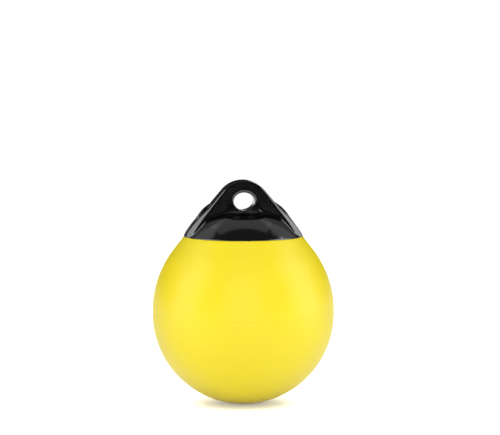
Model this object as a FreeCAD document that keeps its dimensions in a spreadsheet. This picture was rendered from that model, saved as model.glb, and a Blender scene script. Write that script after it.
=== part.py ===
import FreeCAD, Part
import math
import os

import Sketcher

# Inflatable anchor buoy: a hollow vinyl float with a moulded ropehold on its crown and a needle
# valve at the back. X runs along the lug, Y through its eye, and Z up. Sketches measure heights
# from the float's lowest point, and every piece is lowered by the draught, so that the origin
# lies on the axis at the waterline.

# alias, value, meaning: millimetres and degrees
SIZES = [
    ("float_radius", 150.0, "radius of the float's round lower half"),
    ("band_height", 5.0, "straight band at the float's widest part"),
    ("flank_radius", 164.0, "radius of the float's upper flank, seen from the side"),
    ("shoulder_angle", 37.6, "slope of the float's shoulder, away from upright"),
    ("float_wall", 2.5, "thickness of the vinyl"),
    ("draught", 57.5, "depth of the float's lowest point under the waterline"),
    ("cap_radius", 98.5, "radius of the ropehold's round edge"),
    ("ledge_width", 8.0, "width of the ledge in the float that the ropehold's edge sits on"),
    ("crown_rise", 31.0, "height of the float's crown above that ledge"),
    ("crown_flat", 5.0, "radius of the flat spot on top of the crown"),
    ("brow_angle", 29.0, "slope of the dome where it turns over to its top"),
    ("brow_radius", 50.0, "radius of that turn"),
    ("top_angle", 4.0, "slope of the dome's top beside the turn"),
    ("root_cover", 3.0, "wall between the lug's foot and the float's crown"),
    ("lug_radius", 45.0, "radius of the lug's rounded top"),
    ("lug_rise", 47.2, "centre of the lug's rounded top above the ropehold's edge"),
    ("lug_foot", 30.0, "half thickness of the lug at the ropehold's edge"),
    ("lug_inset", 0.5, "lug's lower corners in from the ropehold's edge"),
    ("lug_slope", 4.5, "slope of the lug's broad faces, away from upright"),
    ("lug_round", 6.0, "rounding along the lug's outline"),
    ("eye_width", 36.0, "width of the oval eye"),
    ("eye_height", 28.8, "height of the oval eye"),
    ("eye_rise", 12.0, "eye centre above the centre of the lug's rounded top"),
    ("eye_round", 4.5, "rounding of the eye's rims"),
    ("rib_rise", 48.3, "height of the rib's shoulder above the ropehold's edge"),
    ("rib_stand", 7.6, "how far that shoulder stands out beyond the lug's flank"),
    ("rib_slope", 30.0, "fall of the rib's upper side, away from level"),
    ("rib_round", 35.0, "radius of the rib's shoulder"),
    ("rib_bottom", 6.0, "lower end of the rib above the ropehold's edge"),
    ("rib_half", 12.0, "half thickness of the rib"),
    ("valve_angle", 33.0, "slope of the valve, away from upright"),
    ("valve_radius", 6.0, "radius of the valve's stem"),
    ("flange_radius", 9.0, "radius of the valve's flange"),
    ("flange_height", 2.5, "thickness of the valve's flange"),
    ("flange_seat", 1.0, "depth of the flange's seat in the dome"),
    ("valve_gap", 0.15, "clearance round the valve's stem"),
    ("valve_tail", 6.0, "length of the valve inside the float"),
    ("needle_radius", 1.1, "radius of the needle passage"),
    ("needle_depth", 16.0, "depth of the needle passage"),
]

# alias, formula, meaning: places that follow from the sizes
PLACES = [
    ("slope", "Sizes.shoulder_angle * 1deg", "shoulder's slope"),
    ("band_top", "Sizes.float_radius + Sizes.band_height", "top of the straight band"),
    ("turn_x", "Sizes.float_radius - Sizes.flank_radius * (1 - cos(slope))", "top of the flank"),
    ("turn_z", "band_top + Sizes.flank_radius * sin(slope)", "top of the flank"),
    ("edge_z", "turn_z + (turn_x - Sizes.cap_radius) / tan(slope)", "ropehold's edge"),
    ("dome_radius", "Sizes.cap_radius / cos(slope)", "dome, tangent to the shoulder"),
    ("dome_z", "edge_z - dome_radius * sin(slope)", "dome's centre"),
    ("brow_x", "dome_radius * sin(Sizes.brow_angle * 1deg)", "where the dome turns over"),
    ("brow_z", "dome_z + dome_radius * cos(Sizes.brow_angle * 1deg)", "where the dome turns over"),
    ("top_x", "brow_x - Sizes.brow_radius * (sin(Sizes.brow_angle * 1deg)"
     " - sin(Sizes.top_angle * 1deg))", "edge of the dome's top"),
    ("top_z", "brow_z + Sizes.brow_radius * (cos(Sizes.top_angle * 1deg)"
     " - cos(Sizes.brow_angle * 1deg))", "edge of the dome's top"),
    ("top_radius", "top_x / sin(Sizes.top_angle * 1deg)", "dome's top"),
    ("dome_top", "top_z + top_radius * (1 - cos(Sizes.top_angle * 1deg))", "dome's top"),
    ("crown_x", "Sizes.cap_radius - Sizes.ledge_width", "foot of the float's crown"),
    ("crown_radius", "(crown_x ^ 2 + Sizes.crown_rise ^ 2) / (2 * Sizes.crown_rise)", "crown"),
    ("crown_z", "edge_z + Sizes.crown_rise - crown_radius", "crown's centre"),
    ("crown_top", "crown_z + sqrt(crown_radius ^ 2 - Sizes.crown_flat ^ 2)", "crown's flat top"),
    ("inner_radius", "Sizes.float_radius - Sizes.float_wall", "inside of the float"),
    ("inner_flank", "Sizes.flank_radius - Sizes.float_wall", "inside of the flank"),
    ("inner_turn_x", "turn_x - Sizes.float_wall * cos(slope)", "inside of the flank's top"),
    ("inner_turn_z", "turn_z - Sizes.float_wall * sin(slope)", "inside of the flank's top"),
    ("inner_edge_z", "edge_z - Sizes.float_wall", "inside of the ledge"),
    ("inner_edge_x", "Sizes.cap_radius + Sizes.float_wall * (tan(slope) - 1 / cos(slope))",
     "inside of the shoulder's top"),
    ("inner_crown", "crown_radius - Sizes.float_wall", "inside of the crown"),
    ("inner_crown_x", "sqrt(inner_crown ^ 2 - (inner_edge_z - crown_z) ^ 2)", "crown's inner foot"),
    ("inner_top", "crown_z + inner_crown", "inside of the crown's top"),
    ("lug_z", "edge_z + Sizes.lug_rise", "centre of the lug's rounded top"),
    ("lug_turn", "acos(Sizes.lug_radius / sqrt(Sizes.cap_radius ^ 2 + Sizes.lug_rise ^ 2))"
     " - atan(Sizes.lug_rise / Sizes.cap_radius)", "where the lug's straight flank begins"),
    ("lug_turn_x", "Sizes.lug_radius * cos(lug_turn)", "where the straight flank begins"),
    ("lug_turn_z", "lug_z + Sizes.lug_radius * sin(lug_turn)", "where the straight flank begins"),
    ("lug_top", "lug_z + Sizes.lug_radius", "top of the lug"),
    ("lug_tip", "Sizes.lug_foot - (lug_top - edge_z) * tan(Sizes.lug_slope * 1deg)",
     "half thickness at the lug's top"),
    ("eye_z", "lug_z + Sizes.eye_rise", "centre of the eye"),
    ("flank_lean", "(Sizes.cap_radius - lug_turn_x) / (lug_turn_z - edge_z)", "lug's flank"),
    ("rib_x", "Sizes.cap_radius - Sizes.rib_rise * flank_lean + Sizes.rib_stand",
     "rib's shoulder, if it were sharp"),
    ("rib_z", "edge_z + Sizes.rib_rise", "rib's shoulder, if it were sharp"),
    ("rib_fall", "Sizes.rib_slope * 1deg", "fall of the rib's upper side"),
    ("rib_drop", "atan(Sizes.rib_rise / (Sizes.cap_radius - rib_x))", "fall of its outer side"),
    ("rib_bend", "Sizes.rib_round * tan((rib_drop - rib_fall) / 2)",
     "from the sharp shoulder to each end of its arc"),
    ("rib_low_x", "rib_x + rib_bend * cos(rib_drop)", "lower end of the rib's shoulder"),
    ("rib_low_z", "rib_z - rib_bend * sin(rib_drop)", "lower end of the rib's shoulder"),
    ("rib_high_x", "rib_x - rib_bend * cos(rib_fall)", "upper end of the rib's shoulder"),
    ("rib_high_z", "rib_z + rib_bend * sin(rib_fall)", "upper end of the rib's shoulder"),
    ("rib_sink", "1.4 * Sizes.rib_stand / (1 / tan(rib_fall) - flank_lean)",
     "height from the shoulder to the rib's upper end, which is inside the lug"),
    ("rib_top_x", "rib_x - rib_sink / tan(rib_fall)", "rib's upper end"),
    ("rib_top_z", "rib_z + rib_sink", "rib's upper end"),
    ("rib_bottom_x", "Sizes.cap_radius - Sizes.rib_bottom / tan(rib_drop)", "rib's lower end"),
    ("rib_bottom_z", "edge_z + Sizes.rib_bottom", "rib's lower end"),
    ("root_radius", "crown_radius + Sizes.root_cover", "lug's foot inside the dome"),
    ("root_x", "sqrt(root_radius ^ 2 - (edge_z - crown_z) ^ 2)", "lug's foot inside the dome"),
    ("rib_root_x", "rib_bottom_x - Sizes.root_cover", "rib's foot inside the dome"),
    ("rib_root_z", "rib_bottom_z - Sizes.root_cover", "rib's foot inside the dome"),
    ("valve_lean", "Sizes.valve_angle * 1deg", "valve's slope"),
    ("valve_y", "dome_radius * sin(valve_lean)", "valve's seat on the dome"),
    ("valve_z", "dome_z + dome_radius * cos(valve_lean)", "valve's seat on the dome"),
    ("valve_run", "valve_y * sin(valve_lean) + (valve_z - crown_z) * cos(valve_lean)",
     "valve's seat along its own axis"),
    ("valve_reach", "valve_run - sqrt(valve_run ^ 2 - valve_y ^ 2 - (valve_z - crown_z) ^ 2"
     " + crown_radius ^ 2)", "from the dome's surface in to the float's crown"),
    ("valve_length", "valve_reach + Sizes.float_wall + Sizes.valve_tail", "valve's stem"),
    ("valve_bore", "Sizes.valve_radius + Sizes.valve_gap", "valve's hole"),
    ("corner_x", "Sizes.cap_radius - Sizes.lug_inset", "lug's lower corners"),
    ("clear_x", "Sizes.cap_radius + Sizes.lug_foot", "beyond the lug's lower corners"),
]

doc = FreeCAD.newDocument("AnchorBuoy")


def fill_sheet(name, rows, prefix):
    sheet = doc.addObject("Spreadsheet::Sheet", name)
    for number, (alias, content, meaning) in enumerate(rows, start=1):
        sheet.set(f"A{number}", meaning)
        sheet.set(f"B{number}", prefix + str(content))
        sheet.setAlias(f"B{number}", alias)
    doc.recompute()
    return sheet


sizes = fill_sheet("Sizes", SIZES, "")
places = fill_sheet("Places", PLACES, "=")
ALIASES = [row[0] for row in SIZES]


def cell(name):
    """A cell's full name and its number. A leading minus is kept."""
    sign, bare = ("-", name[1:]) if name.startswith("-") else ("", name)
    sheet = sizes if bare in ALIASES else places
    value = getattr(sheet, bare)
    number = float(getattr(value, "Value", value))
    return f"{sign}{sheet.Name}.{bare}", -number if sign else number


def size_of(name):
    return cell(name)[1]


def new_body(label):
    body = doc.addObject("PartDesign::Body", label)
    body.Label = label
    body.setExpression("Placement.Base.z", "-Sizes.draught")
    return body


def origin_plane(body, role):
    return next(item for item in body.Origin.OriginFeatures if item.Role == role)


def new_sketch(body, name, role):
    sketch = body.newObject("Sketcher::SketchObject", name)
    sketch.AttachmentSupport = (origin_plane(body, role), [""])
    sketch.MapMode = "FlatFace"
    return sketch


def bind(sketch, constraint, name):
    number = sketch.addConstraint(constraint)
    sketch.setExpression(f"Constraints[{number}]", cell(name)[0])


def pin(sketch, edge, end, corner):
    """Hold one end of an edge at a corner whose two coordinates are cells, or 0."""
    for axis, name, line in (("DistanceX", corner[0], -2), ("DistanceY", corner[1], -1)):
        if name == "0":
            sketch.addConstraint(Sketcher.Constraint("PointOnObject", edge, end, line))
        else:
            bind(sketch, Sketcher.Constraint(axis, -1, 1, edge, end, cell(name)[1]), name)


def draw(sketch, outline):
    """Closed outline: each entry is a corner and the edge that leaves it.

    The edge is None for a straight line, or an arc's radius with its turn: 1 to the left of the
    way it is drawn, -1 to the right.
    """
    spots = [FreeCAD.Vector(*(0 if name == "0" else cell(name)[1] for name in corner), 0)
             for corner, _ in outline]
    ends = []
    first_edge = sketch.GeometryCount
    for index, (_, arc) in enumerate(outline):
        start = spots[index]
        end = spots[(index + 1) % len(spots)]
        if arc is None:
            sketch.addGeometry(Part.LineSegment(start, end))
            ends.append((1, 2))
            continue
        radius, turn = cell(arc[0])[1], arc[1]
        chord = end - start
        rise = math.sqrt(radius ** 2 - chord.Length ** 2 / 4)
        left = FreeCAD.Vector(-chord.y, chord.x, 0).normalize()
        centre = (start + end) / 2 + left * (rise * turn)
        first, last = (start, end) if turn > 0 else (end, start)
        angles = [math.atan2(spot.y - centre.y, spot.x - centre.x) for spot in (first, last)]
        if angles[1] < angles[0]:
            angles[1] += 2 * math.pi
        circle = Part.Circle(centre, FreeCAD.Vector(0, 0, 1), radius)
        sketch.addGeometry(Part.ArcOfCircle(circle, *angles))
        ends.append((1, 2) if turn > 0 else (2, 1))
    for index, (corner, arc) in enumerate(outline):
        following = (index + 1) % len(outline)
        edge = first_edge + index
        sketch.addConstraint(Sketcher.Constraint(
            "Coincident", edge, ends[index][1], first_edge + following, ends[following][0]))
        pin(sketch, edge, ends[index][0], corner)
        if arc is not None:
            bind(sketch, Sketcher.Constraint("Radius", edge, cell(arc[0])[1]), arc[0])


def add_feature(body, kind, name, sketch, **settings):
    feature = body.newObject(f"PartDesign::{kind}", name)
    feature.Profile = sketch
    for setting, value in settings.items():
        setattr(feature, setting, value)
    sketch.Visibility = False
    doc.recompute()
    return feature


def turn_profile(body, kind, name, outline):
    """Solid or hollow of revolution about the upright axis."""
    sketch = new_sketch(body, f"{name}_outline", "XZ_Plane")
    draw(sketch, outline)
    return add_feature(body, kind, name, sketch, ReferenceAxis=(sketch, ["V_Axis"]), Angle=360)


def valve_cylinder(body, kind, name, radius, height, below):
    """Cylinder along the valve's axis, from a depth below the dome's surface outwards."""
    cylinder = body.newObject(f"PartDesign::{kind}", name)
    cylinder.setExpression("Radius", radius)
    cylinder.setExpression("Height", height)
    for axis, run in (("y", "sin"), ("z", "cos")):
        cylinder.setExpression(f"Placement.Base.{axis}",
                               f"Places.valve_{axis} - ({below}) * {run}(Places.valve_lean)")
    cylinder.Placement.Rotation = FreeCAD.Rotation(FreeCAD.Vector(-1, 0, 0), size_of("valve_angle"))
    cylinder.setExpression("Placement.Rotation.Angle", "Places.valve_lean")
    doc.recompute()
    return cylinder


def make_float():
    body = new_body("float_body")
    turn_profile(body, "Revolution", "float_outside", [
        (("0", "0"), ("float_radius", 1)),
        (("float_radius", "float_radius"), None),
        (("float_radius", "band_top"), ("flank_radius", 1)),
        (("turn_x", "turn_z"), None),
        (("cap_radius", "edge_z"), None),
        (("crown_x", "edge_z"), ("crown_radius", 1)),
        (("crown_flat", "crown_top"), None),
        (("0", "crown_top"), None),
    ])
    turn_profile(body, "Groove", "float_inside", [
        (("0", "float_wall"), ("inner_radius", 1)),
        (("inner_radius", "float_radius"), None),
        (("inner_radius", "band_top"), ("inner_flank", 1)),
        (("inner_turn_x", "inner_turn_z"), None),
        (("inner_edge_x", "inner_edge_z"), None),
        (("inner_crown_x", "inner_edge_z"), ("inner_crown", 1)),
        (("0", "inner_top"), None),
    ])
    valve_cylinder(body, "SubtractiveCylinder", "float_valve_hole",
                   "Places.valve_bore", "Places.valve_length", "Places.valve_length")
    return body


def slab(body, kind, name, outlines, half):
    """Outlines drawn in the lug's plane, filled or cut to the same depth both ways."""
    sketch = new_sketch(body, f"{name}_outline", "XZ_Plane")
    for outline in outlines:
        draw(sketch, outline)
    feature = add_feature(body, kind, name, sketch, Midplane=True)
    feature.setExpression("Length", f"2 * {half}")
    doc.recompute()
    return feature


def round_edges(body, name, radius, wanted):
    base = body.Tip
    names = [f"Edge{number}" for number, edge in enumerate(base.Shape.Edges, start=1)
             if wanted(edge)]
    fillet = body.newObject("PartDesign::Fillet", name)
    fillet.Base = (base, names)
    fillet.setExpression("Radius", f"Sizes.{radius}")
    doc.recompute()
    return fillet


def middle(edge):
    return edge.valueAt((edge.FirstParameter + edge.LastParameter) / 2)


def on_lug_outline(edge):
    """Whether an edge of the sloped slab runs along its arch or a straight flank."""
    spot = middle(edge)
    on_face = abs(spot.y) > size_of("lug_tip") - 0.1
    at_foot = spot.z < size_of("edge_z") + 5 or (abs(spot.x) < 1 and spot.z < size_of("eye_z"))
    return on_face and not at_foot and edge.Length > 40


def make_ropehold():
    body = new_body("ropehold")
    slab(body, "Pad", "lug", [[
        (("cap_radius", "edge_z"), None),
        (("lug_turn_x", "lug_turn_z"), ("lug_radius", 1)),
        (("-lug_turn_x", "lug_turn_z"), None),
        (("-cap_radius", "edge_z"), None),
        (("-root_x", "edge_z"), ("root_radius", -1)),
        (("root_x", "edge_z"), None),
    ]], "Sizes.lug_foot")
    for side, sign in (("front", "-"), ("back", "")):
        sketch = new_sketch(body, f"lug_{side}_outline", "YZ_Plane")
        draw(sketch, [
            ((f"{sign}lug_foot", "edge_z"), None),
            ((f"{sign}lug_foot", "lug_top"), None),
            ((f"{sign}lug_tip", "lug_top"), None),
        ])
        add_feature(body, "Pocket", f"lug_{side}", sketch, Type="ThroughAll", Midplane=True)
    tip = size_of("lug_tip")
    round_edges(body, "lug_edges", "lug_round", on_lug_outline)
    turn_profile(body, "Groove", "lug_corners", [
        (("corner_x", "edge_z"), None),
        (("clear_x", "edge_z"), None),
        (("clear_x", "lug_top"), None),
        (("corner_x", "lug_top"), None),
    ])
    cut_eye(body)
    round_edges(body, "eye_rims", "eye_round",
                lambda edge: edge.isClosed() and abs(middle(edge).y) > tip)
    turn_profile(body, "Revolution", "dome", [
        (("cap_radius", "edge_z"), ("dome_radius", 1)),
        (("brow_x", "brow_z"), ("brow_radius", 1)),
        (("top_x", "top_z"), ("top_radius", 1)),
        (("0", "dome_top"), None),
        (("0", "crown_top"), None),
        (("crown_flat", "crown_top"), ("crown_radius", -1)),
        (("crown_x", "edge_z"), None),
    ])
    slab(body, "Pad", "ribs", [[
        ((f"{sign}rib_bottom_x", "rib_bottom_z"), None),
        ((f"{sign}rib_low_x", "rib_low_z"), ("rib_round", turn)),
        ((f"{sign}rib_high_x", "rib_high_z"), None),
        ((f"{sign}rib_top_x", "rib_top_z"), None),
        ((f"{sign}rib_root_x", "rib_root_z"), None),
    ] for sign, turn in (("", 1), ("-", -1))], "Sizes.rib_half")
    valve_cylinder(body, "SubtractiveCylinder", "ropehold_valve_hole", "Places.valve_bore",
                   "2 * Places.valve_reach", "1.5 * Places.valve_reach")
    valve_cylinder(body, "SubtractiveCylinder", "flange_seat",
                   "Sizes.flange_radius + Sizes.valve_gap", "2 * Sizes.flange_height",
                   "Sizes.flange_seat")
    return body


def cut_eye(body):
    sketch = new_sketch(body, "eye_outline", "XZ_Plane")
    centre = FreeCAD.Vector(0, size_of("eye_z"), 0)
    side = centre + FreeCAD.Vector(size_of("eye_width") / 2, 0, 0)
    top = centre + FreeCAD.Vector(0, size_of("eye_height") / 2, 0)
    sketch.addGeometry(Part.Ellipse(side, top, centre))
    sketch.exposeInternalGeometry(0)
    width_line, height_line = 1, 2
    sketch.addConstraint(Sketcher.Constraint("Horizontal", width_line))
    pin(sketch, 0, 3, ("0", "eye_z"))
    for line, name in ((width_line, "eye_width"), (height_line, "eye_height")):
        bind(sketch, Sketcher.Constraint("Distance", line, size_of(name)), name)
    return add_feature(body, "Pocket", "eye", sketch, Type="ThroughAll", Midplane=True)


def make_valve():
    body = new_body("needle_valve")
    valve_cylinder(body, "AdditiveCylinder", "stem", "Sizes.valve_radius",
                   "Places.valve_length", "Places.valve_length")
    valve_cylinder(body, "AdditiveCylinder", "flange", "Sizes.flange_radius",
                   "Sizes.flange_height", "Sizes.flange_seat")
    valve_cylinder(body, "SubtractiveCylinder", "needle_passage", "Sizes.needle_radius",
                   "Sizes.needle_depth + Sizes.flange_height", "Sizes.needle_depth")
    return body


def check(parts):
    doc.recompute()
    for item in doc.Objects:
        if "Invalid" in item.State or "Error" in item.State:
            raise RuntimeError(f"{item.Label} did not recompute: {item.State}")
    for part in parts:
        if part.Shape.isNull() or not part.Shape.isValid():
            raise RuntimeError(f"{part.Label} has no valid shape")


parts = [make_float(), make_ropehold(), make_valve()]
check(parts)
os.makedirs("parts", exist_ok=True)
for part in parts:
    part.Shape.exportStep(os.path.join("parts", f"{part.Label}.step"))
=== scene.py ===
import itertools
import math

import bpy
import numpy as np
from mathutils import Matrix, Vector


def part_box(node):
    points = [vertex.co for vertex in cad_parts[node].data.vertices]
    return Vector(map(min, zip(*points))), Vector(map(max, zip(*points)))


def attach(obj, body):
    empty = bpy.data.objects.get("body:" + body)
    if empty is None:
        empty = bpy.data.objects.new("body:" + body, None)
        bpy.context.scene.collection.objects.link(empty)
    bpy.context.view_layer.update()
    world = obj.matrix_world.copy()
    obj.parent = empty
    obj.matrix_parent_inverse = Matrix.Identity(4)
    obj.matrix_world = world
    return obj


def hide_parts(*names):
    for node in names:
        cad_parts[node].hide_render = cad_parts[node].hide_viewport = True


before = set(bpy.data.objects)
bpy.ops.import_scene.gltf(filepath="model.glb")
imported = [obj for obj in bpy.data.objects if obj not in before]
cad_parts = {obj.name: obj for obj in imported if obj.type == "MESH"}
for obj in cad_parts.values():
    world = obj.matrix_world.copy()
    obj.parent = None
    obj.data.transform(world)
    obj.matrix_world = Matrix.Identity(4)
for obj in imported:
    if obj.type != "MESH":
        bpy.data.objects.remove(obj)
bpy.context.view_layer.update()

# Inflatable anchor buoy: yellow vinyl float, black moulded ropehold, rubber needle valve.
# Shapes are worked out in millimetres, with heights above the float's lowest point.

FLOAT_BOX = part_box("float_body")
ROPEHOLD_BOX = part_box("ropehold")
MM = 0.001
FOOT_Z = FLOAT_BOX[0].z


def in_frame(points):
    """Millimetres above the float's lowest point, as metres in the CAD frame."""
    placed = np.asarray(points, dtype=float) * MM
    placed[:, 2] += FOOT_Z
    return placed


def height_of(z):
    return (z - FOOT_Z) / MM


# Sizes in millimetres. Angles are written in degrees.
FLOAT_RADIUS = 150.0
BAND_HEIGHT = 5.0
FLANK_RADIUS = 164.0
SHOULDER = math.radians(37.6)
WALL = 2.5
CAP_RADIUS = 98.5
EDGE = height_of(ROPEHOLD_BOX[0].z)
LEDGE = 8.0
CROWN_RISE = 31.0
DOME_RADIUS = CAP_RADIUS / math.cos(SHOULDER)
DOME_CENTRE = EDGE - DOME_RADIUS * math.sin(SHOULDER)
DOME_TOP = 318.1
TOP_RADIUS = 566.0
BROW_SOFT = 2.5                  # where the dome turns over to its flatter top
SADDLE_BROW = 9.0                # the same, under the eye
LUG_RADIUS = 45.0
LUG_CENTRE = height_of(ROPEHOLD_BOX[1].z) - LUG_RADIUS
LUG_FOOT = 30.0
LUG_SLOPE = math.radians(4.5)
LUG_ROUND = 2.5                  # rounding of its outline
LUG_FULLNESS = 2.3               # how far its flanks swell between foot and top
LUG_BEVEL = 8.2                  # width of the bevel along its flanks, at the foot
LUG_WAIST_BEVEL = 3.2            # where the flanks meet the round top
LUG_TOP_BEVEL = 0.8
BEVEL_SOFT = 1.2
LUG_INSET = 0.5                  # lug and ribs end this far inside the ropehold's edge
INSET_SOFT = 1.0
EYE_HALF_WIDTH = 17.3
EYE_HALF_HEIGHT = 14.8
EYE_CENTRE = LUG_CENTRE + 10.8
EYE_FALL = 0.035                 # how steeply it falls towards the back
EYE_BULGE = 1.5                  # how far its upper wall rounds inwards at mid-depth
EYE_ROUND = 3.2
EYE_HALF_DEPTH = 25.0
SADDLE_ROUND = 1.0               # where the eye cuts the saddle
FOOT_FILLET = 2.0
SADDLE_FILLET = 24.0             # under the eye
SADDLE_REACH = 28.0              # how far to each side of the eye it reaches
GUTTER_DEPTH = 4.8
GUTTER_REACH = 8.5
GUTTER_ENDS = (58.0, 82.0)       # from the middle to where it starts, and to its full depth
RIB_HALF = 12.5
RIB_SLOPE = math.radians(9)
RIB_TURN = (65.5, 326.0)         # where the rib's upper side meets its outer side
RIB_TOP_SLOPE = math.radians(30)
RIB_ROUND = 0.8
RIB_INNER = 30.0                 # inside the lug
RIB_SOFT = 6.0
NOTCH_FILLET = 1.2               # between the ribs and the lug
EDGE_SOFT = 0.6
MESH_STEP = 1.2                  # size of the ropehold's quads
SETTLE_ROUNDS = 4
VALVE_LEAN = math.radians(33)
VALVE_RADIUS = 6.0
VALVE_GAP = 0.15
VALVE_HOLE = VALVE_RADIUS + VALVE_GAP
VALVE_TAIL = 6.0                 # inside the float
NEEDLE_RADIUS = 1.1
NEEDLE_DEPTH = 16.0
FLANGE_RADIUS = 9.0
FLANGE_HEIGHT = 2.5
FLANGE_SEAT = 1.0
CROWN_FOOT = CAP_RADIUS - LEDGE
CROWN_RADIUS = (CROWN_FOOT ** 2 + CROWN_RISE ** 2) / (2 * CROWN_RISE)
CROWN_CENTRE = EDGE + CROWN_RISE - CROWN_RADIUS
SEAM_DEPTH = 0.42
LIP = 2.6                        # small round lip of the float beside the ropehold's edge

# Stage, in metres and degrees
WHITE = (1, 1, 1, 1)
FLOOR_COLOUR = (0.88, 0.9, 0.96, 1)
PAINTED_SHADE_GLOW = 0.26                # dimmer glow under the float: painted shade round its foot, where its real shadow also shows
PAINTED_SHADE_REACH = (0.06, 0.14)        # from the painted shade out to plain white
WALL_LEVEL = 0.02
CEILING_LEVEL = 0.05
CEILING_RISE = (0.5, 0.95)
HORIZON_RISE = (0.002, 0.02)
LAMP_AIM = Vector((0, 0, FOOT_Z + 0.18))
AIM = Vector((0.0112, 0, FOOT_Z + 0.3082))
CAMERA_DISTANCE = 4.45
CAMERA_AZIMUTH = -4.8
CAMERA_ELEVATION = 4.66
LENS = 194.3


# Distance fields: negative inside

def join_soft(a, b, width):
    """Union, with a fillet about as wide as the width given."""
    blend = np.maximum(width - np.abs(a - b), 0) / width
    return np.minimum(a, b) - blend ** 2 * width / 4


def meet_soft(a, b, width):
    """Intersection, with its edge softened."""
    return -join_soft(-a, -b, width)


def meet_round(a, b, radius):
    """Intersection of two surfaces that cross squarely, with a round edge."""
    over = np.hypot(np.maximum(radius + a, 0), np.maximum(radius + b, 0))
    return np.minimum(-radius, np.maximum(a, b)) + over


def ball(x, y, z, centre, radius):
    return np.sqrt(x ** 2 + y ** 2 + (z - centre) ** 2) - radius


def slab_faces(y, z):
    """The lug's two broad faces, which lean together towards its top."""
    half = LUG_FOOT - (z - EDGE) * math.tan(LUG_SLOPE)
    return (np.abs(y) - half) * math.cos(LUG_SLOPE)


def lug_outline(x, z):
    """Round top, with a straight flank on each side down to the ropehold's edge."""
    rise = LUG_CENTRE - EDGE
    turn = math.acos(LUG_RADIUS / math.hypot(CAP_RADIUS, rise)) - math.atan(rise / CAP_RADIUS)
    side, up = np.abs(x), z - LUG_CENTRE
    flank = side * math.cos(turn) + up * math.sin(turn) - LUG_RADIUS
    arch = np.hypot(side, up) - LUG_RADIUS
    return np.where(np.arctan2(up, side) < turn, flank, arch)


def eye_hole(x, y, z):
    """Oval through the lug, with its upper wall rounded inwards for the rope."""
    across, up = x / EYE_HALF_WIDTH, (z - EYE_CENTRE + EYE_FALL * y) / EYE_HALF_HEIGHT
    reach = np.maximum(np.hypot(across, up), 1e-6)
    slope = np.hypot(across / EYE_HALF_WIDTH, up / EYE_HALF_HEIGHT) / reach
    upper = (1 + up / reach) / 2
    middle = np.maximum(1 - (y / EYE_HALF_DEPTH) ** 2, 0)
    return (reach - 1) / slope + EYE_BULGE * upper ** 2 * middle


def rib(x, y, z):
    """Rounded web that stands out from each end of the lug."""
    side = np.abs(x) - RIB_TURN[0]
    up = z - RIB_TURN[1]
    run, drop = CAP_RADIUS - RIB_TURN[0], RIB_TURN[1] - EDGE
    outer = (side * drop + up * run) / math.hypot(run, drop)
    upper = side * math.sin(RIB_TOP_SLOPE) + up * math.cos(RIB_TOP_SLOPE)
    web = np.maximum(meet_soft(outer, upper, RIB_SOFT), RIB_INNER - np.abs(x))
    half = RIB_HALF - (z - EDGE) * math.tan(RIB_SLOPE)
    return meet_round(web, (np.abs(y) - half) * math.cos(RIB_SLOPE), RIB_ROUND)


def valve_places():
    """The valve's seat on the dome, and its axis."""
    axis = np.array([0, math.sin(VALVE_LEAN), math.cos(VALVE_LEAN)])
    return np.array([0, 0, DOME_CENTRE]) + axis * DOME_RADIUS, axis


def valve_cuts(x, y, z):
    """The valve's hole, and the shallow seat of its flange."""
    seat, axis = valve_places()
    out = (y - seat[1]) * axis[1] + (z - seat[2]) * axis[2]
    off = np.hypot(x, (y - seat[1]) * axis[2] - (z - seat[2]) * axis[1])
    return np.minimum(off - VALVE_HOLE,
                      np.maximum(off - FLANGE_RADIUS - VALVE_GAP, -out - FLANGE_SEAT))


def lug_body(x, y, z):
    """The lug between its outline and its faces, with bevels down its slightly full flanks."""
    risen = np.clip((z - EDGE) / (LUG_CENTRE - EDGE), 0, 1)
    arched = np.clip((z - LUG_CENTRE) / LUG_RADIUS, 0, 1)
    outline = lug_outline(x, z) - LUG_FULLNESS * np.sin(math.pi * risen)
    faces = slab_faces(y, z)
    bevel = (LUG_BEVEL + (LUG_WAIST_BEVEL - LUG_BEVEL) * risen ** 2
             + (LUG_TOP_BEVEL - LUG_WAIST_BEVEL) * arched)
    return meet_soft(meet_round(outline, faces, LUG_ROUND),
                     (outline + faces + bevel) / math.sqrt(2), BEVEL_SOFT)


def gutter(x, y):
    """Depth of the hollow between the dome and each end of the lug's foot."""
    along = np.clip((np.abs(x) - GUTTER_ENDS[0]) / (GUTTER_ENDS[1] - GUTTER_ENDS[0]), 0, 1)
    across = np.exp(-((np.abs(y) - LUG_FOOT) / GUTTER_REACH) ** 2)
    inside = np.maximum(1 - (np.hypot(x, y) / CAP_RADIUS) ** 24, 0)
    return GUTTER_DEPTH * along ** 2 * (3 - 2 * along) * across * inside


def ropehold_field(x, y, z):
    """Dome with the lug and ribs on it, less the eye, the float's crown and the valve."""
    saddle = np.exp(-(x / SADDLE_REACH) ** 4)
    dome = meet_soft(ball(x, y, z, DOME_CENTRE, DOME_RADIUS),
                     ball(x, y, z, DOME_TOP - TOP_RADIUS, TOP_RADIUS),
                     BROW_SOFT + (SADDLE_BROW - BROW_SOFT) * saddle)
    dome = dome + gutter(x, y)
    hole = eye_hole(x, y, z)
    rim = np.hypot(x, y) - CAP_RADIUS + LUG_INSET
    lug = join_soft(meet_soft(lug_body(x, y, z), rim, INSET_SOFT),
                    meet_soft(rib(x, y, z), rim, INSET_SOFT), NOTCH_FILLET)
    lug = meet_round(lug, -hole, EYE_ROUND)
    body = join_soft(lug, dome, FOOT_FILLET + (SADDLE_FILLET - FOOT_FILLET) * saddle)
    body = meet_round(body, -hole, SADDLE_ROUND)
    body = meet_soft(body, EDGE - z, EDGE_SOFT)
    body = np.maximum(body, -ball(x, y, z, CROWN_CENTRE, CROWN_RADIUS))
    return np.maximum(body, -valve_cuts(x, y, z))


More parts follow.
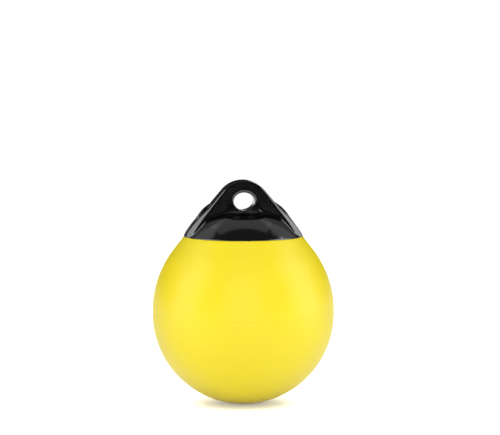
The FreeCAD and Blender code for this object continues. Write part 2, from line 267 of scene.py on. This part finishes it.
def surface_mesh(field, low, high, step):
    """Quads on the surface where a field is zero, and their points."""
    axes = [np.arange(a, b + step, step) for a, b in zip(low, high)]
    inside = field(*np.meshgrid(*axes, indexing="ij", sparse=True)) < 0
    size = np.array(inside.shape) - 1
    corners = sum(inside[i:size[0] + i, j:size[1] + j, k:size[2] + k].astype(int)
                  for i, j, k in itertools.product((0, 1), repeat=3))
    cells = (corners > 0) & (corners < 8)
    number = np.full(cells.shape, -1)
    number[cells] = np.arange(cells.sum())
    points = np.array(low) + (np.argwhere(cells) + 0.5) * step
    quads = []
    for axis in range(3):
        here = np.take(inside, range(size[axis]), axis)
        beyond = np.take(inside, range(1, size[axis] + 1), axis)
        spots = np.argwhere(here != beyond)
        leaving = here[tuple(spots.T)]
        u, v = (axis + 1) % 3, (axis + 2) % 3
        ring = []
        for back_u, back_v in ((0, 0), (1, 0), (1, 1), (0, 1)):
            cell = spots.copy()
            cell[:, u] -= back_u
            cell[:, v] -= back_v
            ring.append(number[tuple(cell.T)])
        quad = np.stack(ring, 1)
        quad[~leaving] = quad[~leaving, ::-1]
        quads.append(quad)
    return points, np.concatenate(quads)


def settle(field, points, quads, rounds):
    """Evens the quads out and brings every point onto the surface."""
    edges = np.concatenate([quads[:, [i, (i + 1) % 4]] for i in range(4)])
    count = np.bincount(edges[:, 0], minlength=len(points))[:, None]
    for _ in range(rounds):
        total = np.stack([np.bincount(edges[:, 0], points[edges[:, 1], axis], len(points))
                          for axis in range(3)], 1)
        points = (points + total / count) / 2
        for _ in range(2):
            points = points - pull(field, points)
    return points


def pull(field, points):
    """Step from each point to the surface, along the field's slope."""
    reach = 0.05
    slope = np.empty_like(points)
    for axis in range(3):
        shift = np.zeros(3)
        shift[axis] = reach
        slope[:, axis] = (field(*(points + shift).T) - field(*(points - shift).T)) / (2 * reach)
    steep = np.maximum((slope ** 2).sum(1), 0.05)
    step = slope * (field(*points.T) / steep)[:, None]
    return np.clip(step, -0.5, 0.5)


def add_mesh(name, points, faces, material):
    mesh = bpy.data.meshes.new(name)
    mesh.from_pydata(in_frame(points).tolist(), [], [list(map(int, face)) for face in faces])
    mesh.update()
    mesh.polygons.foreach_set("use_smooth", [True] * len(mesh.polygons))
    mesh.materials.append(material)
    piece = bpy.data.objects.new(name, mesh)
    bpy.context.scene.collection.objects.link(piece)
    return piece


def stand_for(piece, node):
    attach(piece, "root")
    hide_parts(node)


def lathe(profile, segments):
    """Closed surface of revolution. The profile starts and ends on the axis."""
    ring = profile[1:-1]
    angles = np.arange(segments) * 2 * math.pi / segments
    points = [(0, 0, profile[0][1])]
    points += [(r * math.cos(a), r * math.sin(a), z) for r, z in ring for a in angles]
    points.append((0, 0, profile[-1][1]))
    last = len(points) - 1
    faces = []
    for s in range(segments):
        t = (s + 1) % segments
        faces.append((0, 1 + t, 1 + s))
        faces.append((last, last - segments + s, last - segments + t))
        for row in range(len(ring) - 1):
            low = 1 + row * segments
            faces.append((low + s, low + t, low + segments + t, low + segments + s))
    return np.array(points), faces


def arc(centre, radius, start, end, steps):
    """Points along an arc, from one angle above the horizontal to another, in degrees."""
    angles = np.radians(np.linspace(start, end, steps + 1))
    return [(centre[0] + radius * math.cos(a), centre[1] + radius * math.sin(a)) for a in angles]


def float_profile():
    """Outside of the float, from its lowest point to the middle of its hidden crown."""
    band_top = FLOAT_RADIUS + BAND_HEIGHT
    seam = FLOAT_RADIUS + BAND_HEIGHT / 2
    shoulder = math.degrees(SHOULDER)
    outside = [(0, 0)] + arc((0, FLOAT_RADIUS), FLOAT_RADIUS, -90, 0, 72)[1:]
    for away in (-1.5, -1.1, -0.9, -0.7, -0.5, -0.25, 0, 0.25, 0.5, 0.7, 0.9, 1.1, 1.5):
        outside.append((FLOAT_RADIUS - SEAM_DEPTH * math.exp(-(away / 0.45) ** 2), seam + away))
    outside += arc((FLOAT_RADIUS - FLANK_RADIUS, band_top), FLANK_RADIUS, 0, shoulder, 40)
    turn_x, turn_z = outside[-1]
    lip = lip_centre()
    lip_x, lip_z = arc(lip, LIP, shoulder, 90, 6)[0]
    for share in (0.25, 0.5, 0.75):
        outside.append((turn_x + (lip_x - turn_x) * share, turn_z + (lip_z - turn_z) * share))
    outside += arc(lip, LIP, shoulder, 90, 6)
    outside.append((CROWN_FOOT + 1, EDGE))
    crown_foot = math.degrees(math.atan2(EDGE - CROWN_CENTRE, CROWN_FOOT))
    return outside + arc((0, CROWN_CENTRE), CROWN_RADIUS, crown_foot, 90, 24)


def lip_centre():
    """Centre of the arc that touches both the shoulder's slope and the flat ledge."""
    run, rise = math.cos(SHOULDER), math.sin(SHOULDER)
    z = EDGE - LIP
    x = (run * CAP_RADIUS + rise * EDGE - LIP - rise * z) / run
    return x, z


# Materials

def new_material(name):
    material = bpy.data.materials.new(name)
    material.use_nodes = True
    return material, material.node_tree.nodes["Principled BSDF"]


def link(material, source, target):
    material.node_tree.links.new(source, target)


def place(material):
    return add_node(material, "TexCoord").outputs["Object"]


def add_node(material, kind, **settings):
    node = material.node_tree.nodes.new(f"ShaderNode{kind}")
    for setting, value in settings.items():
        setattr(node, setting, value)
    return node


def noise(material, scale, detail):
    texture = add_node(material, "TexNoise")
    texture.inputs["Scale"].default_value = scale
    texture.inputs["Detail"].default_value = detail
    link(material, place(material), texture.inputs["Vector"])
    return texture.outputs["Fac"]


def ramp(material, source, stops):
    node = add_node(material, "ValToRGB")
    bands = node.color_ramp.elements
    while len(bands) < len(stops):
        bands.new(0.5)
    for band, (position, colour) in zip(bands, stops):
        band.position = position
        band.color = colour
    link(material, source, node.inputs["Fac"])
    return node.outputs["Color"]


def spread(material, source, low, high, into_low, into_high):
    node = add_node(material, "MapRange")
    for name, value in (("From Min", low), ("From Max", high),
                        ("To Min", into_low), ("To Max", into_high)):
        node.inputs[name].default_value = value
    link(material, source, node.inputs["Value"])
    return node.outputs["Result"]


def bump(material, shader, layers):
    """Bumps of several sizes, each given as height source, strength and depth in metres."""
    normal = None
    for source, strength, depth in layers:
        node = add_node(material, "Bump")
        node.inputs["Strength"].default_value = strength
        node.inputs["Distance"].default_value = depth
        link(material, source, node.inputs["Height"])
        if normal is not None:
            link(material, normal, node.inputs["Normal"])
        normal = node.outputs["Normal"]
    link(material, normal, shader.inputs["Normal"])


def yellow_vinyl():
    material, shader = new_material("yellow_vinyl")
    tint = ramp(material, noise(material, 9, 3), [
        (0.3, (0.94, 0.762, 0.014, 1)), (0.7, (0.96, 0.782, 0.018, 1))])
    link(material, tint, shader.inputs["Base Color"])
    link(material, spread(material, noise(material, 28, 3), 0.3, 0.7, 0.34, 0.42),
         shader.inputs["Roughness"])
    shader.inputs["Specular IOR Level"].default_value = 0.5
    bump(material, shader, [(noise(material, 420, 2), 0.06, 0.0004),
                            (noise(material, 12, 1), 0.15, 0.0012)])
    return material


def black_vinyl():
    material, shader = new_material("black_vinyl")
    tint = ramp(material, noise(material, 60, 4), [
        (0.3, (0.0012, 0.0012, 0.0013, 1)), (0.7, (0.0018, 0.0018, 0.0019, 1))])
    link(material, tint, shader.inputs["Base Color"])
    link(material, spread(material, noise(material, 45, 3), 0.3, 0.7, 0.11, 0.155),
         shader.inputs["Roughness"])
    shader.inputs["Specular IOR Level"].default_value = 1.0
    shader.inputs["IOR"].default_value = 1.66
    bump(material, shader, [(noise(material, 900, 2), 0.02, 0.0001),
                            (noise(material, 40, 1), 0.1, 0.0005)])
    return material


def valve_rubber():
    material, shader = new_material("valve_rubber")
    tint = ramp(material, noise(material, 300, 3), [
        (0.3, (0.012, 0.012, 0.012, 1)), (0.7, (0.02, 0.02, 0.02, 1))])
    link(material, tint, shader.inputs["Base Color"])
    link(material, spread(material, noise(material, 500, 2), 0.3, 0.7, 0.5, 0.62),
         shader.inputs["Roughness"])
    bump(material, shader, [(noise(material, 1500, 2), 0.2, 0.0002)])
    return material


def make_float():
    piece = add_mesh("float_shell", *lathe(float_profile(), 288), yellow_vinyl())
    stand_for(piece, "float_body")


def valve_profile():
    """Along the valve's axis, from its inner end out to its lip and down the needle passage."""
    seat, axis = valve_places()
    over = seat - np.array([0, 0, CROWN_CENTRE])
    run = over @ axis
    reach = run - math.sqrt(run ** 2 - over @ over + CROWN_RADIUS ** 2)
    inner_end = -(reach + WALL + VALVE_TAIL)
    top = FLANGE_HEIGHT - FLANGE_SEAT
    profile = [(0, inner_end), (VALVE_RADIUS - 0.8, inner_end), (VALVE_RADIUS, inner_end + 0.8)]
    profile += [(VALVE_RADIUS, -FLANGE_SEAT - 0.3), (VALVE_RADIUS + 0.3, -FLANGE_SEAT)]
    profile += arc((FLANGE_RADIUS - 0.2, -FLANGE_SEAT + 0.2), 0.2, -90, 0, 3)
    profile += arc((FLANGE_RADIUS - 0.9, top - 1.1), 0.9, 0, 90, 6)
    profile += [(6.6, top - 0.2), (6.3, top - 0.45), (5.6, top - 0.5), (5.3, top - 0.3)]
    profile += arc((3.9, top - 0.55), 0.55, 60, 120, 4)
    profile += [(3.2, top - 0.5), (2.2, top - 1.0), (1.5, top - 1.6)]
    profile += [(NEEDLE_RADIUS, top - 2.4), (NEEDLE_RADIUS, -NEEDLE_DEPTH), (0, -NEEDLE_DEPTH)]
    return profile


def make_valve():
    seat, axis = valve_places()
    points, faces = lathe(valve_profile(), 96)
    across = np.array([[1, 0, 0], [0, axis[2], -axis[1]], axis])
    piece = add_mesh("valve_plug", points @ across + seat, faces, valve_rubber())
    stand_for(piece, "needle_valve")


def make_ropehold():
    margin = 2.0
    low = (-CAP_RADIUS - margin, -CAP_RADIUS - margin, EDGE - margin)
    high = (CAP_RADIUS + margin, CAP_RADIUS + margin, LUG_CENTRE + LUG_RADIUS + margin)
    points, quads = surface_mesh(ropehold_field, low, high, MESH_STEP)
    points = settle(ropehold_field, points, quads, SETTLE_ROUNDS)
    piece = add_mesh("ropehold_moulding", points, quads, black_vinyl())
    stand_for(piece, "ropehold")


# Stage

def larger(owner, first, second):
    node = add_node(owner, "Math", operation="MAXIMUM")
    link(owner, first, node.inputs[0])
    link(owner, second, node.inputs[1])
    return node.outputs[0]


def make_floor():
    """White paper that shows the object's shadow.

    Its glow dims round the float's foot, painted shade where the real shadow falls. Mirrored
    rays see this glow alone, so in reflections the floor under the float is painted shadow, and
    a reflection of it is no brighter than white.
    """
    bpy.ops.mesh.primitive_plane_add(size=400, location=(0, 0, FOOT_Z))
    floor = bpy.context.object
    floor.name = "floor"
    material, shader = new_material("floor_paper")
    material.node_tree.nodes.remove(shader)
    output = material.node_tree.nodes["Material Output"]
    paper = add_node(material, "BsdfDiffuse")
    paper.inputs["Color"].default_value = FLOOR_COLOUR
    distance = add_node(material, "VectorMath", operation="LENGTH")
    link(material, place(material), distance.inputs[0])
    # Glow dims towards the float's foot: painted shade, round the real shadow the paper shows
    glow_with_painted_shade = spread(material, distance.outputs["Value"], *PAINTED_SHADE_REACH, PAINTED_SHADE_GLOW, 1.0)
    path = add_node(material, "LightPath")
    mirrored = larger(material, path.outputs["Is Glossy Ray"],
                      path.outputs["Is Transmission Ray"])
    seen = larger(material, path.outputs["Is Camera Ray"], mirrored)
    strength = add_node(material, "Math", operation="MULTIPLY")
    link(material, glow_with_painted_shade, strength.inputs[0])
    link(material, seen, strength.inputs[1])
    glow = add_node(material, "Emission")
    link(material, strength.outputs[0], glow.inputs["Strength"])
    both = add_node(material, "AddShader")
    link(material, paper.outputs[0], both.inputs[0])
    link(material, glow.outputs[0], both.inputs[1])
    # Mirrored rays get the glow alone, so its painted shade stands in for the shadow in
    # reflections
    choice = add_node(material, "MixShader")
    link(material, mirrored, choice.inputs[0])
    link(material, both.outputs[0], choice.inputs[1])
    link(material, glow.outputs[0], choice.inputs[2])
    link(material, choice.outputs[0], output.inputs["Surface"])
    floor.data.materials.append(material)


def make_world():
    """A dim studio room, with a white band round the horizon that carries the floor on."""
    world = bpy.data.worlds.new("studio")
    bpy.context.scene.world = world
    world.use_nodes = True
    room = world.node_tree.nodes["Background"]
    split = add_node(world, "SeparateXYZ")
    link(world, add_node(world, "TexCoord").outputs["Generated"], split.inputs[0])
    above = spread(world, split.outputs["Z"], *CEILING_RISE, WALL_LEVEL, CEILING_LEVEL)
    band = spread(world, split.outputs["Z"], *HORIZON_RISE, 1.0, 0.0)
    room.inputs["Color"].default_value = WHITE
    link(world, larger(world, above, band), room.inputs["Strength"])


def direction(azimuth, elevation):
    """Unit vector from the object, with azimuth 0 towards the front and 90 to its right."""
    a, e = math.radians(azimuth), math.radians(elevation)
    return Vector((math.sin(a) * math.cos(e), -math.cos(a) * math.cos(e), math.sin(e)))


def make_camera():
    data = bpy.data.cameras.new("camera")
    data.lens = LENS
    data.sensor_width = 36
    data.clip_end = 500
    camera = bpy.data.objects.new("camera", data)
    bpy.context.scene.collection.objects.link(camera)
    back = direction(CAMERA_AZIMUTH, CAMERA_ELEVATION)
    camera.location = AIM + back * CAMERA_DISTANCE
    camera.rotation_euler = (-back).to_track_quat("-Z", "Y").to_euler()
    bpy.context.scene.camera = camera


def softbox(name, azimuth, elevation, distance, size, radiance, in_gloss=True):
    """Soft rectangular lamp that faces the buoy, as bright to look at as the radiance given."""
    data = bpy.data.lights.new(name, "AREA")
    data.shape = "RECTANGLE"
    data.size, data.size_y = size
    data.energy = radiance * math.pi * size[0] * size[1]
    lamp = bpy.data.objects.new(name, data)
    bpy.context.scene.collection.objects.link(lamp)
    away = direction(azimuth, elevation)
    lamp.location = LAMP_AIM + away * distance
    lamp.rotation_euler = away.to_track_quat("Z", "Y").to_euler()
    lamp.visible_camera = False
    lamp.visible_glossy = in_gloss


make_float()
make_ropehold()
make_valve()
make_floor()
make_world()
make_camera()
softbox("left_softbox", -80, 20, 1.4, (0.9, 1.6), 1.88)
softbox("right_softbox", 80, 20, 1.4, (0.95, 1.6), 2.15)
softbox("top_softbox", 180, 74, 1.3, (1.3, 0.7), 0.21)
softbox("back_left_softbox", -119, 42, 1.5, (0.6, 0.9), 0.2)
softbox("back_left_edge", -127, 43, 1.6, (1.05, 1.05), 0.15)
softbox("back_right_softbox", 118, 42, 1.5, (0.55, 0.9), 0.18)
softbox("back_right_edge", 126, 43, 1.6, (1.0, 1.05), 0.13)
softbox("front_fill", -4, 12, 3.0, (2.4, 3.0), 3.2, in_gloss=False)
softbox("high_fill", 0, 62, 2.5, (1.8, 1.8), 1.0, in_gloss=False)
softbox("back_fill", 180, 20, 3.0, (2.4, 2.0), 4.0, in_gloss=False)

bpy.context.scene.view_settings.view_transform = "Standard"
